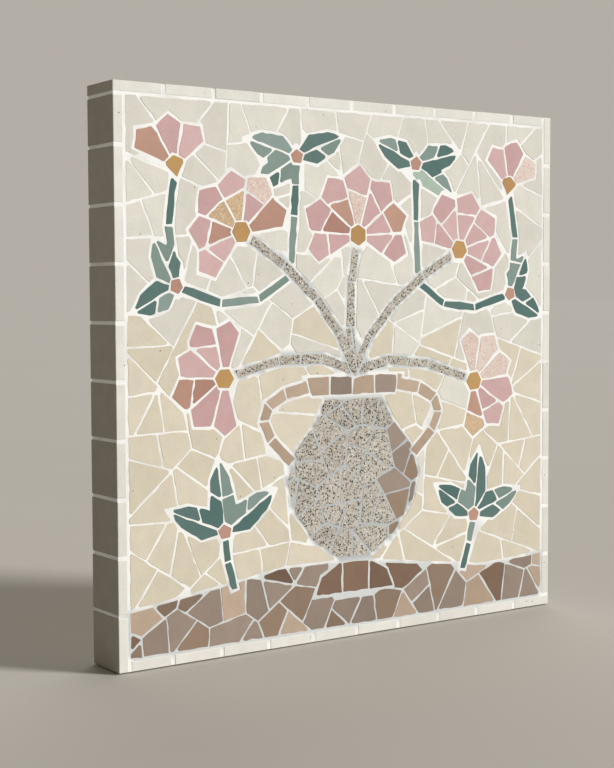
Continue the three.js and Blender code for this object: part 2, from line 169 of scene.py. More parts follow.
class NodeWork:
    """A node tree, with short ways to add to it.

    Attributes:
        tree: The node tree.
    """

    def __init__(self, tree: bpy.types.NodeTree) -> None:
        """Keep the tree."""
        self.tree = tree

    def add(self, kind: str, inputs: Optional[dict] = None, **settings: str) -> bpy.types.Node:
        """Add a node with its settings, its input values and its links.

        Args:
            kind: Blender's name for the node.
            inputs: Values or output sockets by input name or number.
            settings: Properties of the node.

        Returns:
            The new node.
        """
        node = self.tree.nodes.new(kind)
        for name, value in settings.items():
            setattr(node, name, value)
        for name, value in (inputs or {}).items():
            self.feed(node, name, value)
        return node

    def feed(self, node: bpy.types.Node, name: Union[str, int], value: Input) -> None:
        """Link a socket to a node's input, or set the input's value.

        Args:
            node: The node.
            name: The input's name or number.
            value: The socket or the value.
        """
        if isinstance(value, Socket):
            self.tree.links.new(value, node.inputs[name])
        else:
            node.inputs[name].default_value = value

    def mix(self, share: Input, one: Input, other: Input, blend: str = "MIX") -> Socket:
        """Mix two colours.

        Args:
            share: The share of the second.
            one: The first colour.
            other: The second colour.
            blend: The way they mix.

        Returns:
            The mixed colour.
        """
        inputs = {MIX_SHARE: share, MIX_ONE: one, MIX_OTHER: other}
        node = self.add("ShaderNodeMix", inputs, data_type="RGBA", blend_type=blend)
        return node.outputs[MIX_RESULT]

    def maths(self, operation: str, *values: Input, kind: str = "ShaderNodeMath") -> Socket:
        """Work out a number, or with VECTOR_MATHS a vector, from others."""
        return self.add(kind, dict(enumerate(values)), operation=operation).outputs[0]

    def spread(self, value: Socket, span: Span, onto: Span = (0.0, 1.0)) -> Socket:
        """Map a value from one span onto another and hold it at the ends."""
        names = ("Value", "From Min", "From Max", "To Min", "To Max")
        return self.add("ShaderNodeMapRange", dict(zip(names, (value, *span, *onto)))).outputs[0]


class Surface(NodeWork):
    """The nodes of one material.

    Attributes:
        shader: The Principled shader.
        place: The object coordinates.
    """

    def __init__(self, material: bpy.types.Material) -> None:
        """Start from the material's own shader.

        Args:
            material: The material.
        """
        super().__init__(material.node_tree)
        self.shader = self.tree.nodes["Principled BSDF"]
        self.place = self.add("ShaderNodeTexCoord").outputs["Object"]

    def set(self, **inputs: Input) -> None:
        """Set inputs of the shader, with an underscore for each space in a name."""
        for name, value in inputs.items():
            self.feed(self.shader, name.replace("_", " "), value)

    def stored(self, name: str) -> Socket:
        """Read a number that is stored on the mesh."""
        return self.add("ShaderNodeAttribute", attribute_name=name).outputs["Fac"]

    def clouds(self, size_mm: float, place: Optional[Socket] = None, **more: float) -> bpy.types.Node:
        """Add clouded noise.

        Args:
            size_mm: The size of the clouds, in millimetres.
            place: The coordinates, if not the object's own.
            more: The detail, roughness and distortion of the clouds.

        Returns:
            The texture node.
        """
        inputs = {name.capitalize(): value for name, value in more.items()}
        inputs |= {"Vector": place or self.place, "Scale": per_metre(size_mm)}
        return self.add("ShaderNodeTexNoise", inputs)

    def cells(self, size_mm: float, place: Optional[Socket] = None) -> bpy.types.Node:
        """Add a lattice of spots, each a little off its place, at a distance in millimetres."""
        inputs = {"Vector": place or self.place, "Scale": per_metre(size_mm)}
        return self.add("ShaderNodeTexVoronoi", inputs)

    def relief(self, height: Socket, strength: float, depth_mm: float) -> None:
        """Make the surface bumpy, up to a depth in millimetres."""
        inputs = {"Height": height, "Strength": strength, "Distance": depth_mm * MM}
        self.set(Normal=self.add("ShaderNodeBump", inputs).outputs["Normal"])


# Finishes


@dataclass(frozen=True)
class Finish:
    """A real material, whose nodes are built once.

    Attributes:
        name: The material's name.
    """

    name: str

    def material(self) -> bpy.types.Material:
        """Build the node material, or find it where it is built.

        Returns:
            The material.
        """
        if self.name in bpy.data.materials:
            return bpy.data.materials[self.name]
        material = bpy.data.materials.new(self.name)
        material.use_nodes = True
        self._paint(Surface(material))
        return material

    def _paint(self, surface: Surface) -> None:
        """Set the shader's colour, roughness and relief."""
        raise NotImplementedError


@dataclass(frozen=True)
class Grain:
    """Coloured grains pressed into a porcelain body.

    Attributes:
        colour: The grain's colour.
        spacing: Millimetres between places where a grain may lie.
        share: The share of those places that hold one.
        radius: The grain's radius, as a share of the spacing.
    """

    colour: str
    spacing: float
    share: float
    radius: float


@dataclass(frozen=True)
class Porcelain(Finish):
    """Through-coloured porcelain mosaic, dry pressed and fired unglazed.

    The eye sees a dead matt, faintly pitted face, even in colour within a chip and a little
    different from chip to chip.

    Attributes:
        deep: The colour of the darkest chip.
        pale: The colour of the palest chip.
        grains: What is pressed into the body.
        roughness: The mean roughness.
    """

    deep: str
    pale: str
    grains: tuple[Grain, ...] = ()
    roughness: float = 0.74

    def _paint(self, surface: Surface) -> None:
        """Cloud the chip's own colour, press the grains in and give the face its grit and pits.

        Args:
            surface: The material's nodes.
        """
        colour = surface.mix(surface.stored("tone"), linear(self.deep), linear(self.pale))
        for size, low, high in POWDER_CLOUDS:
            cloud = surface.clouds(size, detail=2.0).outputs["Fac"]
            value = surface.spread(cloud, NOISE_SPAN, (low, high))
            colour = surface.mix(1.0, colour, value, blend="MULTIPLY")
        grit = surface.clouds(GRIT_SIZE, detail=4.0, roughness=0.65).outputs["Fac"]
        pits = surface.spread(surface.cells(PIT_SPACING).outputs["Distance"], PIT_SPAN)
        height = surface.maths("MULTIPLY_ADD", pits, PIT_SHARE, grit)
        surface.relief(height, strength=0.6, depth_mm=0.12)
        rough = surface.spread(grit, NOISE_SPAN, (self.roughness - 0.08, self.roughness + 0.1))
        surface.set(Base_Color=self._sprinkle(surface, colour), Roughness=rough, IOR=PORCELAIN_IOR)

    def _sprinkle(self, surface: Surface, colour: Socket) -> Socket:
        """Press the grains in, each kind from its own lattice of ragged spots.

        Args:
            surface: The material's nodes.
            colour: The colour of the body.

        Returns:
            The colour with the grains.
        """
        ragged = surface.clouds(FRAY_SIZE, detail=1.0).outputs["Color"]
        fray = (FRAY_DEPTH * MM,) * 3
        step_x, step_y, step_z = LATTICE_STEP
        for number, grain in enumerate(self.grains):
            step = (step_x * number, step_y, step_z * number)
            moved = surface.maths("ADD", surface.place, step, kind=VECTOR_MATHS)
            frayed = surface.maths("MULTIPLY_ADD", ragged, fray, moved, kind=VECTOR_MATHS)
            lattice = surface.cells(grain.spacing, frayed)
            radii = (grain.radius, grain.radius * GRAIN_CORE)
            spot = surface.spread(lattice.outputs["Distance"], radii)
            draw = surface.add("ShaderNodeSeparateColor", {0: lattice.outputs["Color"]}).outputs[0]
            mask = surface.maths("MULTIPLY", spot, surface.maths("LESS_THAN", draw, grain.share))
            colour = surface.mix(mask, colour, linear(grain.colour))
        return colour


@dataclass(frozen=True)
class CementGrout(Finish):
    """White cement grout, sponged off level with the chips' edges.

    The eye sees a chalky, sandy line, a little grey where the sponge has washed it.

    Attributes:
        clean: The colour of the fresh grout.
        washed: The colour where the sponge has worn it.
        stained: The colour beside dark stone, from its dust.
        patch: The size of the washed patches, in millimetres.
        sand: The size of the sand in it, in millimetres.
    """

    name: str = "white cement grout"
    clean: str = "f6f6f3"
    washed: str = "dfdfdb"
    stained: str = "b9bec0"
    patch: float = 14.0
    sand: float = 0.5

    def _paint(self, surface: Surface) -> None:
        """Wash the grout in patches, stain it by the stone and make it sandy.

        Args:
            surface: The material's nodes.
        """
        patches = surface.spread(surface.clouds(self.patch, detail=4.0).outputs["Fac"], WASHED_SPAN)
        colour = surface.mix(patches, linear(self.clean), linear(self.washed))
        colour = surface.mix(surface.stored("stain"), colour, linear(self.stained))
        surface.relief(surface.clouds(self.sand, detail=3.0).outputs["Fac"], strength=0.7, depth_mm=0.2)
        surface.set(Base_Color=colour, Roughness=0.9)


@dataclass(frozen=True)
class BirchPly(Finish):
    """Rotary-cut birch plywood, sanded and left bare.

    The eye sees pale, wandering grain with fine dark pores along it.

    Attributes:
        pale: The early wood.
        deep: The late wood.
        figure: The size of the wandering figure across the grain, in millimetres.
        rings: How many rings one wave of the figure holds.
        pore: The size of a pore across the grain, in millimetres.
    """

    name: str = "birch plywood"
    pale: str = "d3ba92"
    deep: str = "b4956a"
    figure: float = 16.0
    rings: float = 9.0
    pore: float = 0.8

    def _paint(self, surface: Surface) -> None:
        """Draw the figure and the pores out along the grain.

        Args:
            surface: The material's nodes.
        """
        along, fine = (
            surface.maths("MULTIPLY", surface.place, (draw, 1.0, 1.0), kind=VECTOR_MATHS)
            for draw in (FIGURE_DRAW, PORE_DRAW)
        )
        figure = surface.clouds(self.figure, along, detail=3.0, distortion=1.2).outputs["Fac"]
        wave = surface.maths("PINGPONG", surface.maths("MULTIPLY", figure, self.rings), 1.0)
        pores = surface.clouds(self.pore, fine, detail=2.0).outputs["Fac"]
        share = surface.maths("MULTIPLY", wave, pores)
        surface.relief(pores, strength=0.4, depth_mm=0.1)
        surface.set(Base_Color=surface.mix(share, linear(self.pale), linear(self.deep)), Roughness=0.62)


@dataclass(frozen=True)
class MattPaint(Finish):
    """Pale matt floor paint, rolled on a little unevenly.

    Attributes:
        deep: The colour where it lies thin.
        pale: The colour where it lies thick.
        cloud: The size of the unevenness, in millimetres.
    """

    name: str = "pale matt paint"
    deep: str = "c2bcb5"
    pale: str = "c6c0b9"
    cloud: float = 333.3

    def _paint(self, surface: Surface) -> None:
        """Cloud the paint."""
        cloud = surface.clouds(self.cloud, detail=2.0).outputs["Fac"]
        surface.set(Base_Color=surface.mix(cloud, linear(self.deep), linear(self.pale)), Roughness=0.95)


SPECKS = (Grain("5f564c", 4.6, 0.35, 0.07),)
STONE_GRAINS = (
    Grain("dcd7cb", 1.0, 0.5, 0.42),
    Grain("8f8980", 0.9, 0.5, 0.42),
    Grain("c4aa94", 1.2, 0.25, 0.4),
    Grain("625c56", 1.0, 0.45, 0.4),
    Grain("2a2826", 1.2, 0.55, 0.4),
)
ROSE_GRAINS = (
    Grain("c99a8c", 0.8, 0.5, 0.42),
    Grain("e9dcd1", 0.9, 0.4, 0.4),
)
SAND_GRAINS = (
    Grain("b3926c", 0.8, 0.5, 0.42),
    Grain("e0caa8", 0.9, 0.4, 0.4),
)

CREAM = Porcelain("cream porcelain", "d5d1c6", "dfdcd1", SPECKS)
BEIGE = Porcelain("beige porcelain", "d3c9b3", "dbd1bd", SPECKS)
OFF_WHITE = Porcelain("off-white porcelain", "dedbd2", "e8e5dd", SPECKS)
# Darker porcelain for every edge-tile face that doesn't look to the front: partly the tiles' own greige
# tone and partly painted shade, darkening the sides and ends whatever light falls on them.
TONED_AND_SHADED = Porcelain("off-white porcelain, toned with painted shade", "aaa398", "b5aea3", SPECKS)
PINK = Porcelain("pink porcelain", "c29a9a", "d2afae")
CLAY = Porcelain("clay-red porcelain", "a97b6d", "bc937f")
ROSE_SPECKLE = Porcelain("rose-speckled porcelain", "d9c4b9", "e0d0c5", ROSE_GRAINS)
SAND_SPECKLE = Porcelain("sand-speckled porcelain", "bf9f7c", "cfb391", SAND_GRAINS)
OCHRE = Porcelain("ochre porcelain", "b1874e", "c39959")
TEAL = Porcelain("dark teal porcelain", "436863", "56736e")
SAGE = Porcelain("sage porcelain", "71887f", "859892")
MINT = Porcelain("mint porcelain", "96b39f", "a8bbad")
STONE = Porcelain("stone-speckled porcelain", "b3ada2", "c4beb2", STONE_GRAINS)
TAUPE = Porcelain("taupe porcelain", "87776a", "9b8a7c")
TAN = Porcelain("tan porcelain", "ae9782", "bfa893")
BROWN = Porcelain("brown porcelain", "7d6755", "967f6a")
DARK_BROWN = Porcelain("dark brown porcelain", "6a523f", "826551")


# Hand tools


def make_active(piece: bpy.types.Object) -> None:
    """Select one piece alone and make it the active one.

    Args:
        piece: The mesh object.
    """
    bpy.ops.object.select_all(action="DESELECT")
    piece.select_set(True)
    bpy.context.view_layer.objects.active = piece


@contextmanager
def editing(piece: bpy.types.Object, mode: str = "FACE") -> Iterator[None]:
    """Open one piece alone in edit mode.

    Args:
        piece: The mesh object.
        mode: VERT, EDGE or FACE.

    Yields:
        Nothing, with the piece open.
    """
    make_active(piece)
    bpy.ops.object.mode_set(mode="EDIT")
    bpy.ops.mesh.select_mode(type=mode)
    yield
    bpy.ops.object.mode_set(mode="OBJECT")


def select(piece: bpy.types.Object, wanted: Callable[[Part], bool], edges: bool = False) -> None:
    """Select faces or edges of the open piece by a test.

    Args:
        piece: The piece, in edit mode.
        wanted: The test.
        edges: Whether it is edges that are picked.
    """
    bpy.ops.mesh.select_all(action="DESELECT")
    shape = bmesh.from_edit_mesh(piece.data)
    chosen = [part for part in (shape.edges if edges else shape.faces) if wanted(part)]
    for part in chosen:
        part.select_set(True)
    bmesh.update_edit_mesh(piece.data)


def start_box(name: str, low: Vector, high: Vector) -> bpy.types.Object:
    """Add a box to shape further, with its place in its mesh.

    Args:
        name: The piece's name.
        low: Its lowest corner.
        high: Its highest corner.

    Returns:
        The new object.
    """
    bpy.ops.object.select_all(action="DESELECT")
    bpy.ops.mesh.primitive_cube_add(size=1.0, location=(low + high) / 2, scale=high - low)
    piece = bpy.context.active_object
    bpy.ops.object.transform_apply(location=True, rotation=True, scale=True)
    piece.name = name
    return piece


def smooth(piece: bpy.types.Object, angle: float = 35.0) -> None:
    """Shade a piece smooth, with edges sharper than the angle kept and broad faces left flat.

    Args:
        piece: The mesh object.
        angle: The angle in degrees.
    """
    make_active(piece)
    bpy.ops.object.shade_smooth_by_angle(angle=math.radians(angle))
    modifier = piece.modifiers.new("weighted normals", "WEIGHTED_NORMAL")
    modifier.keep_sharp = True
    bpy.ops.object.modifier_apply(modifier=modifier.name)


def store(piece: bpy.types.Object, name: str, values: list[float]) -> None:
    """Store one number for each vertex, for the materials to read.

    Args:
        piece: The mesh object.
        name: The attribute's name.
        values: A number from 0 to 1 for each vertex.
    """
    layer = piece.data.attributes.new(name, "FLOAT", "POINT")
    layer.data.foreach_set("value", values)


def hand_over(piece: bpy.types.Object, slot: str, *nodes: str) -> None:
    """Let a finished piece stand for its solids.

    Args:
        piece: The finished object.
        slot: The record's material slot, which is not used.
        nodes: The solids that it replaces.
    """
    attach(piece, BODY)
    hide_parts(*nodes)
    log.info("%s stands for %s", piece.name, ", ".join(nodes))


# Chips


@dataclass
class Chip:
    """One loose chip of a finished piece.

    Attributes:
        vertices: Its vertex numbers.
        centre: The middle of its box.
        length: Its longest extent in the plane of the picture.
        area: The area of its face.
    """

    vertices: list[int]
    centre: Vector
    length: float
    area: float


@dataclass
class ChipFigure:
    """A group of hand-nipped chips, cut from the front of one solid.

    Attributes:
        name: The finished piece's name.
        node: The solid.
        slot: The record's material slot.
        palette: The porcelain of each role, as pairs of a porcelain and its weight in the draw.
        largest: The area in square millimetres past which a chip is snapped in two.
        seed: The seed of its random draws.
        heart_area: The area of its heart or berry in square millimetres, or 0.
        stalk_width: Chips narrower than this are stalk, in millimetres, or 0.
        flank_from: Chips to the right of this are flank, in metres.
        low_under: Chips under this height are low, in metres, give or take LOW_BORDER.
        thickness: How deep the chips go, in millimetres.
        bite: Edges longer than this bend halfway, in millimetres.
        wander: How far a corner or a bend strays from its place, in millimetres.
        corner: How far the corners are nipped round, in millimetres.
        arris: The width of the worn front edge, in millimetres.
        lift: The most that one chip's face stands behind another's, in millimetres.
        tilt: The most that a chip leans, in degrees.
    """

    name: str
    node: str
    slot: str
    palette: dict[Role, list[tuple[Porcelain, float]]]
    largest: float = 260.0
    seed: int = 1
    heart_area: float = 0.0
    stalk_width: float = 0.0
    flank_from: float = math.inf
    low_under: float = -math.inf
    thickness: float = 4.4
    bite: float = 5.5
    wander: float = 0.5
    corner: float = 0.36
    arris: float = 0.13
    lift: float = 0.1
    tilt: float = 0.2

    def build(self) -> bpy.types.Object:
        """Cut, lay and dress the chips.

        Returns:
            The finished piece.
        """
        draw = random.Random(self.seed)
        piece = self._faces_of_solid()
        self._snap(piece, draw)
        self._roughen(piece)
        self._nip_corners(piece)
        self._give_depth(piece)
        chips = self._chips(piece)
        self._lay(piece, chips, draw)
        smooth(piece)
        self._dress(piece, chips, draw)
        hand_over(piece, self.slot, self.node)
        return piece

    def _faces_of_solid(self) -> bpy.types.Object:
        """Copy the solid and keep its front faces, one to a chip.

        Returns:
            The piece, still flat.
        """
        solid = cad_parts[self.node]
        piece = bpy.data.objects.new(self.name, solid.data.copy())
        bpy.context.scene.collection.objects.link(piece)
        piece.data.materials.clear()
        make_active(piece)
        bpy.ops.mesh.customdata_custom_splitnormals_clear()
        with editing(piece):
            bpy.ops.mesh.select_all(action="SELECT")
            bpy.ops.mesh.remove_doubles(threshold=TOUCH)
            select(piece, lambda face: face.normal.y > -SQUARE_ON
                   or face.calc_center_median().y > FACE_Y + NEAR)
            bpy.ops.mesh.delete(type="FACE")
            bpy.ops.mesh.select_all(action="SELECT")
            bpy.ops.mesh.dissolve_limited(angle_limit=math.radians(1.0))
            bpy.ops.mesh.select_all(action="SELECT")
            bpy.ops.mesh.dissolve_degenerate(threshold=SHORTEST_EDGE)
        return piece

    def _snap(self, piece: bpy.types.Object, draw: random.Random) -> None:
        """Snap the large chips across, with a joint between the halves.

        Args:
            piece: The flat piece.
            draw: The figure's random draws.
        """
        with editing(piece):
            for _ in range(SNAP_ROUNDS):
                shape = bmesh.from_edit_mesh(piece.data)
                marks = shape.faces.layers.int.get("mark") or shape.faces.layers.int.new("mark")
                cuts = []
                for number, face in enumerate(shape.faces):
                    face[marks] = number
                    if face.calc_area() > self.largest * MM * MM:
                        across = self._long_way(face, draw)
                        cuts.append((number, face.calc_center_median_weighted(), across))
                for number, middle, across in cuts:
                    self._cut(piece, number, middle, across)
        piece.data.attributes.remove(piece.data.attributes["mark"])

    @staticmethod
    def _long_way(face: bmesh.types.BMFace, draw: random.Random) -> Vector:
        """Find the direction of a face's greatest length, turned a little by hand.

        Args:
            face: The chip's face.
            draw: The figure's random draws.

        Returns:
            The direction.
        """
        corners = [vertex.co for vertex in face.verts]
        gaps = [one - other for one in corners for other in corners]
        longest = max(gaps, key=lambda gap: gap.length).normalized()
        stray = draw.uniform(-SNAP_STRAY_DEGREES, SNAP_STRAY_DEGREES)
        return Matrix.Rotation(math.radians(stray), 3, "Y") @ longest

    @staticmethod
    def _cut(piece: bpy.types.Object, number: int, middle: Vector, across: Vector) -> None:
        """Cut one marked face on both sides of a joint and take the sliver out.

        Args:
            piece: The flat piece.
            number: The mark of the face.
            middle: A place on the joint.
            across: The direction square across the joint.
        """
        def marked(face: bmesh.types.BMFace) -> bool:
            """Tell whether a face is part of the chip that is cut."""
            shape = bmesh.from_edit_mesh(piece.data)
            return face[shape.faces.layers.int["mark"]] == number

        for side in (-0.5, 0.5):
            select(piece, marked)
            bpy.ops.mesh.bisect(plane_co=middle + across * side * JOINT, plane_no=across)
        select(piece, lambda face: marked(face)
               and abs((face.calc_center_median() - middle).dot(across)) < JOINT_MIDDLE)
        bpy.ops.mesh.delete(type="FACE")

    def _roughen(self, piece: bpy.types.Object) -> None:
        """Let the nipped edges wander from corner to corner, within the plane.

        Args:
            piece: The flat piece.
        """
        with editing(piece):
            self._sweep(piece)
        with editing(piece, "EDGE"):
            bpy.ops.mesh.select_all(action="SELECT")
            bpy.ops.mesh.delete(type="ONLY_FACE")
            for _ in range(BEND_ROUNDS):
                select(piece, lambda edge: edge.calc_length() > self.bite * MM, edges=True)
                bpy.ops.mesh.subdivide(number_cuts=1)
            bpy.ops.mesh.select_all(action="SELECT")
            bpy.ops.transform.vertex_random(offset=self.wander * MM, seed=self.seed)
            bpy.ops.transform.resize(value=(1.0, 0.0, 1.0), center_override=(0.0, FACE_Y, 0.0))
            bpy.ops.mesh.edge_face_add()

    def _nip_corners(self, piece: bpy.types.Object) -> None:
        """Break the sharp tips back and nip the corners round.

        Args:
            piece: The flat piece.
        """
        with editing(piece, "VERT"):
            for _ in range(BLUNT_ROUNDS):
                bpy.ops.mesh.select_all(action="SELECT")
                bpy.ops.mesh.dissolve_degenerate(threshold=SHORTEST_NIPPED_EDGE)
                for place, reach in self._tips(piece, BLUNT_BELOW):
                    self._pick(piece, place)
                    bpy.ops.mesh.bevel(offset=reach, segments=1, affect="VERTICES")
                self._sweep(piece)
            bpy.ops.mesh.select_all(action="SELECT")
            bpy.ops.mesh.dissolve_degenerate(threshold=SHORTEST_NIPPED_EDGE)
            for place, _ in self._tips(piece, DROPPED_BELOW):
                self._pick(piece, place)
                bpy.ops.mesh.dissolve_verts()
            self._sweep(piece)
            bpy.ops.mesh.select_all(action="SELECT")
            bpy.ops.mesh.bevel(offset=self.corner * MM, segments=2, affect="VERTICES")

    @staticmethod
    def _sweep(piece: bpy.types.Object) -> None:
        """Take away crumbs too small to lay."""
        select(piece, lambda face: face.calc_area() < CRUMB_AREA)
        bpy.ops.mesh.delete(type="FACE")

    @staticmethod
    def _tips(piece: bpy.types.Object, below: float) -> list[tuple[Vector, float]]:
        """List the sharp tips, which would have snapped off.

        Args:
            piece: The flat piece.
            below: The angle under which a tip is sharp.

        Returns:
            The place of each and how far back it breaks.
        """
        tips = []
        for face in bmesh.from_edit_mesh(piece.data).faces:
            for loop in face.loops:
                sharp = loop.calc_angle()
                if sharp < below:
                    beside = min(loop.edge.calc_length(), loop.link_loop_prev.edge.calc_length())
                    reach = BROKEN_TIP / 2 / math.sin(sharp / 2)
                    tips.append((loop.vert.co.copy(), min(reach, MOST_OF_EDGE * beside)))
        return tips

    @staticmethod
    def _pick(piece: bpy.types.Object, place: Vector) -> None:
        """Select the vertex at a place.

        Args:
            piece: The flat piece.
            place: The place.
        """
        bpy.ops.mesh.select_all(action="DESELECT")
        shape = bmesh.from_edit_mesh(piece.data)
        min(shape.verts, key=lambda vertex: (vertex.co - place).length_squared).select_set(True)
        bmesh.update_edit_mesh(piece.data)

    def _give_depth(self, piece: bpy.types.Object) -> None:
        """Draw the faces back into solid chips and wear their front edges.

        Args:
            piece: The flat piece.
        """
        back = (0.0, self.thickness * MM, 0.0)
        with editing(piece):
            bpy.ops.mesh.select_all(action="SELECT")
            bpy.ops.mesh.extrude_region_move(TRANSFORM_OT_translate={"value": back})
            bpy.ops.mesh.select_all(action="SELECT")
            bpy.ops.mesh.normals_make_consistent(inside=False)
        with editing(piece, "EDGE"):
            select(piece, lambda edge: all(abs(end.co.y - FACE_Y) < TOUCH for end in edge.verts),
                   edges=True)
            bpy.ops.mesh.bevel(offset=self.arris * MM, segments=2, affect="EDGES")

    @staticmethod
    def _chips(piece: bpy.types.Object) -> list[Chip]:
        """Find the loose chips of a piece, in a steady order.

        Args:
            piece: The solid chips.

        Returns:
            The chips.
        """
        leader = list(range(len(piece.data.vertices)))

        def lead(vertex: int) -> int:
            """Follow a vertex to its chip's first vertex.

            Args:
                vertex: The vertex's number.

            Returns:
                The first vertex's number.
            """
            while leader[vertex] != vertex:
                leader[vertex] = leader[leader[vertex]]
                vertex = leader[vertex]
            return vertex

        for edge in piece.data.edges:
            one, other = lead(edge.vertices[0]), lead(edge.vertices[1])
            leader[max(one, other)] = min(one, other)
        groups: dict[int, list[int]] = {}
        for vertex in range(len(leader)):
            groups.setdefault(lead(vertex), []).append(vertex)
        area: dict[int, float] = {}
        for face in piece.data.polygons:
            if face.normal.y < -NEARLY_SQUARE_ON:
                owner = lead(face.vertices[0])
                area[owner] = area.get(owner, 0.0) + face.area
        chips = []
        for owner, members in groups.items():
            places = [piece.data.vertices[vertex].co for vertex in members]
            centre = Vector([(min(along) + max(along)) / 2 for along in zip(*places)])
            length = 2 * max(math.hypot(place.x - centre.x, place.z - centre.z) for place in places)
            chips.append(Chip(members, centre, length, area.get(owner, 0.0)))
        return chips

    def _lay(self, piece: bpy.types.Object, chips: list[Chip], draw: random.Random) -> None:
        """Set each chip a little back and a little askew, as a hand does.

        Args:
            piece: The solid chips.
            chips: What is known of each.
            draw: The figure's random draws.
        """
        for chip in chips:
            back = Matrix.Translation((0.0, draw.uniform(0.0, self.lift) * MM, 0.0))
            lean = Matrix.Rotation(math.radians(draw.uniform(-self.tilt, self.tilt)), 4, "X")
            swing = Matrix.Rotation(math.radians(draw.uniform(-self.tilt, self.tilt)), 4, "Z")
            centre = Matrix.Translation(chip.centre)
            move = back @ centre @ lean @ swing @ centre.inverted()
            for vertex in chip.vertices:
                piece.data.vertices[vertex].co = move @ piece.data.vertices[vertex].co

    def _role(self, chip: Chip, heart: Optional[Chip], border: float) -> Role:
        """Say what a chip is in its figure.

        Args:
            chip: The chip.
            heart: The figure's heart, if it has one.
            border: How far the border of the low chips strays here.

        Returns:
            Its role.
        """
        if chip is heart:
            return Role.HEART
        if chip.area < self.stalk_width * MM * chip.length:
            return Role.STALK
        if chip.centre.x > self.flank_from:
            return Role.FLANK
        if chip.centre.z + border < self.low_under:
            return Role.LOW
        return Role.FIELD

    def _dress(self, piece: bpy.types.Object, chips: list[Chip], draw: random.Random) -> None:
        """Give each chip its porcelain and its tone.

        Args:
            piece: The solid chips.
            chips: What is known of each.
            draw: The figure's random draws.
        """
        heart = None
        if self.heart_area:
            heart = min(chips, key=lambda chip: abs(chip.area - self.heart_area * MM * MM)
                        + max(0.0, COMPACT_AREA * chip.length ** 2 - chip.area))
        porcelains = [porcelain for choices in self.palette.values() for porcelain, _ in choices]
        porcelains = list(dict.fromkeys(porcelains))
        for porcelain in porcelains:
            piece.data.materials.append(porcelain.material())
        tones = [0.0] * len(piece.data.vertices)
        number_of = [0] * len(piece.data.vertices)
        for chip in chips:
            border = draw.uniform(-LOW_BORDER, LOW_BORDER)
            choices = self.palette[self._role(chip, heart, border)]
            kinds, weights = zip(*choices)
            porcelain = draw.choices(kinds, weights)[0]
            tone = draw.random()
            for vertex in chip.vertices:
                tones[vertex] = tone
                number_of[vertex] = porcelains.index(porcelain)
        for face in piece.data.polygons:
            face.material_index = number_of[face.vertices[0]]
        store(piece, "tone", tones)
        log.info("%s: %d chips", piece.name, len(chips))


# Edge tiles, grout and board


@dataclass
class EdgeTiles:
    """Whole and cut mosaic tiles laid edge on round the four sides.

    Attributes:
        corner: The radius of a tile's corners, in millimetres.
        arris: The radius of a tile's pressed edges, in millimetres.
        crown: How much the outer face swells, in millimetres.
        rim: The width of the face's shoulder, in millimetres.
        sharp: The angle over which an edge has an arris.
        shift: The most a tile is laid off its place, in millimetres.
        turn: The most it is turned, in degrees.
        seed: The seed of its random draws.
    """

    corner: float = 0.65
    arris: float = 0.34
    crown: float = 0.07
    rim: float = 1.6
    sharp: float = math.radians(45)
    shift: float = 0.07
    turn: float = 0.16
    seed: int = 41

    def _model(self, name: str, size: Vector) -> bpy.types.Mesh:
        """Model one tile lying flat, outer face up.

        Args:
            name: The mesh's name.
            size: Its length, width and thickness.

        Returns:
            The tile's mesh.
        """
        piece = start_box(name, -size / 2, size / 2)
        with editing(piece):
            select(piece, lambda face: face.normal.z > NEARLY_SQUARE_ON)
            bpy.ops.mesh.inset(thickness=self.rim * MM)
            bpy.ops.transform.translate(value=(0.0, 0.0, self.crown * MM))
        with editing(piece, "EDGE"):
            select(piece, lambda edge: abs(edge.verts[0].co.z - edge.verts[1].co.z) > MM,
                   edges=True)
            bpy.ops.mesh.bevel(offset=self.corner * MM, segments=4, affect="EDGES")
            select(piece, lambda edge: edge.calc_face_angle(0.0) > self.sharp, edges=True)
            bpy.ops.mesh.bevel(offset=self.arris * MM, segments=4, affect="EDGES")
        smooth(piece, 50.0)
        mesh = piece.data
        for finish in (OFF_WHITE, TONED_AND_SHADED):
            mesh.materials.append(finish.material())
        # Faces looking to the front stay off-white; all others take the darker porcelain, which is partly
        # the tiles' own tone and partly painted shade.
        for face in mesh.polygons:
            face.material_index = int(face.normal.y > -HALF_ON)
        bpy.data.objects.remove(piece)
        return mesh

    def build(self) -> None:
        """Lay a copy of the right tile over each edge tile of the frame."""
        draw = random.Random(self.seed)
        models: dict[int, bpy.types.Mesh] = {}
        for side in Direction:
            row = f"edge_{side.name.lower()}_"
            for node in sorted(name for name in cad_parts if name.startswith(row)):
                low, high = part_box(node)
                size = high - low
                if side in (Direction.LEFT, Direction.RIGHT):
                    size = Vector((size.z, size.y, size.x))
                tenths = round(size.x / NEAR)
                if tenths not in models:
                    models[tenths] = self._model(f"tile_model_{tenths}", size)
                self._lay(node, models[tenths].copy(), side, draw)

    def _lay(self, node: str, mesh: bpy.types.Mesh, side: Direction, draw: random.Random) -> None:
        """Lay one tile over its solid, a little off its place and a little askew.

        Args:
            node: The solid.
            mesh: The tile's mesh, lying flat.
            side: The side that it belongs to.
            draw: The tiles' random draws.
        """
        low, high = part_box(node)
        turn = Matrix.Rotation(math.radians(side.value), 4, "Y")
        askew = Matrix.Rotation(math.radians(draw.uniform(-self.turn, self.turn)), 4, "Z")
        lean = Matrix.Rotation(math.radians(draw.uniform(-self.turn, self.turn)), 4, "X")
        off = Vector([draw.uniform(-self.shift, self.shift) * MM for _ in range(3)])
        mesh.transform(Matrix.Translation((low + high) / 2 + off) @ turn @ askew @ lean)
        piece = bpy.data.objects.new(f"tile_{node.removeprefix('edge_')}", mesh)
        bpy.context.scene.collection.objects.link(piece)
        store(piece, "tone", [draw.random()] * len(mesh.vertices))
        hand_over(piece, "edge_porcelain", node)


